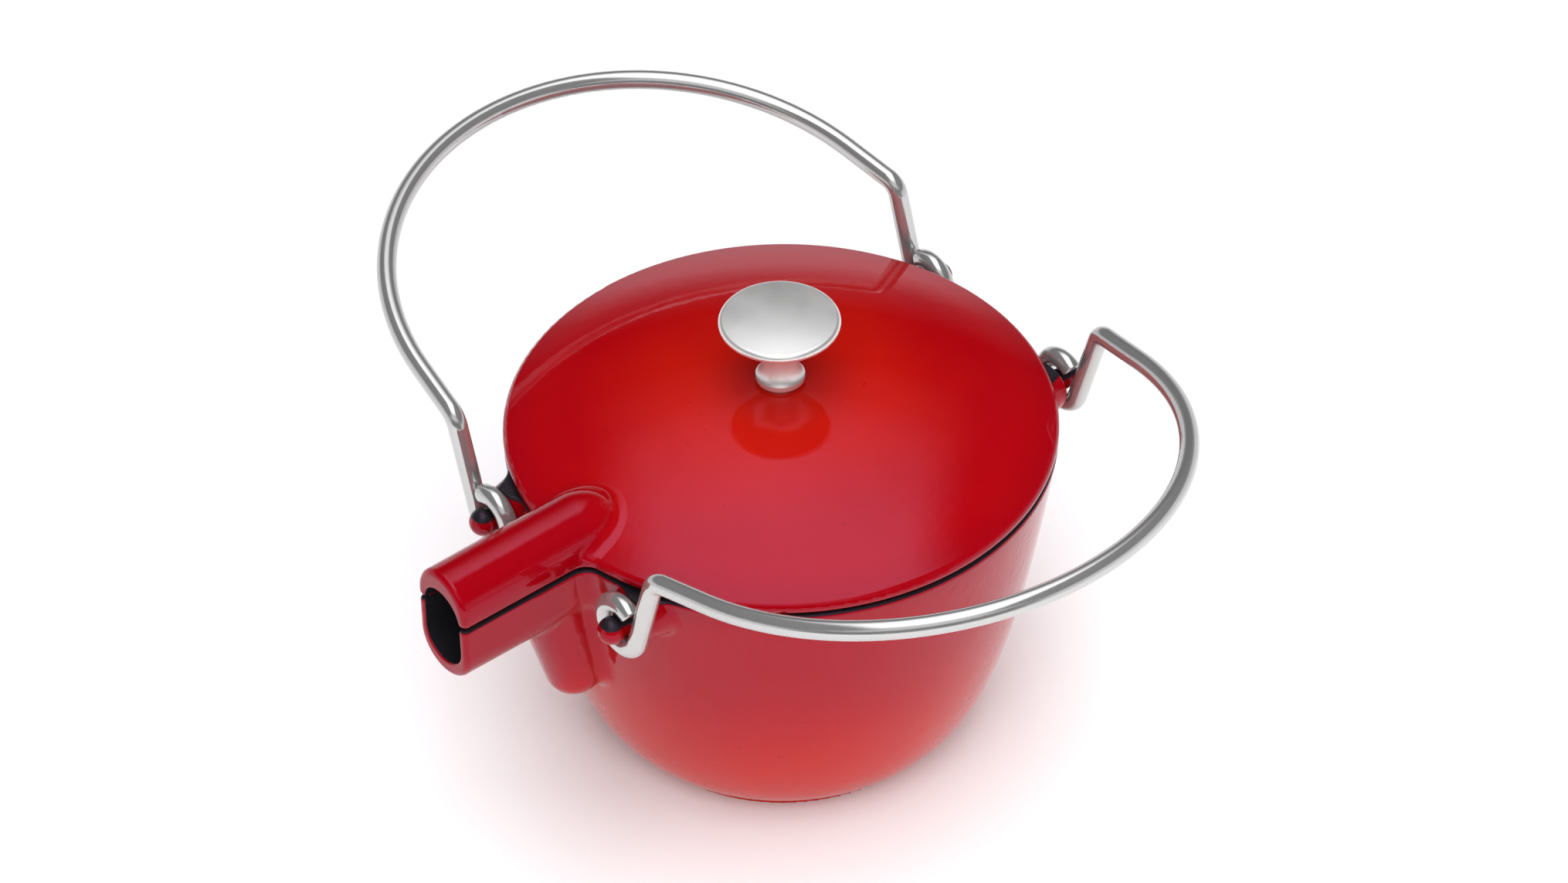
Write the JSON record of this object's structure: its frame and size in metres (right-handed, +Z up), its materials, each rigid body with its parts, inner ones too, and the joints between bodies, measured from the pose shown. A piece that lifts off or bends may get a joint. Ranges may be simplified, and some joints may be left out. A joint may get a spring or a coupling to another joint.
{
  "type": "stovetop kettle",
  "caption": "Round enamelled cast-iron stovetop kettle with a short spout split between bowl and lid, a lift-off domed lid with a steel knob, and bent-wire handles folded out to the sides.",
  "frame": {"origin": "centre of the base, on the surface the kettle stands on", "axes": "+Z up; +X the way the spout pours; the handles hinge about lines parallel to X"},
  "size_m": [0.2184, 0.2796, 0.1498],
  "materials": {
    "enamel_body": "glossy cherry-red vitreous enamel outside, matt black enamel inside and on the rim",
    "enamel_lid": "glossy cherry-red vitreous enamel, matt black underside",
    "knob_steel": "turned and satin-polished stainless steel",
    "fixing_steel": "plain stainless steel",
    "wire_steel": "bent and polished stainless-steel wire"
  },
  "bodies": {
    "kettle": {"kettle_body": "enamel_body"},
    "lid": {"lid": "enamel_lid", "knob": "knob_steel", "knob_collar": "fixing_steel", "flat_washer": "fixing_steel", "spring_washer": "fixing_steel", "knob_screw": "fixing_steel"},
    "left_handle": {"left_handle": "wire_steel"},
    "right_handle": {"right_handle": "wire_steel"}
  },
  "joints": [
    {"name": "lid_lift", "type": "slide", "parent": "kettle", "child": "lid", "axis": [0, 0, 1], "range_m": [0, 0.125]},
    {"name": "left_handle_hinge", "type": "hinge", "parent": "kettle", "child": "left_handle", "pos_m": [0, -0.0305, 0.0991], "axis": [-1, 0, 0], "range_deg": [0, 72]},
    {"name": "right_handle_hinge", "type": "hinge", "parent": "kettle", "child": "right_handle", "pos_m": [0, 0.0305, 0.0991], "axis": [1, 0, 0], "range_deg": [0, 72]}
  ]
}
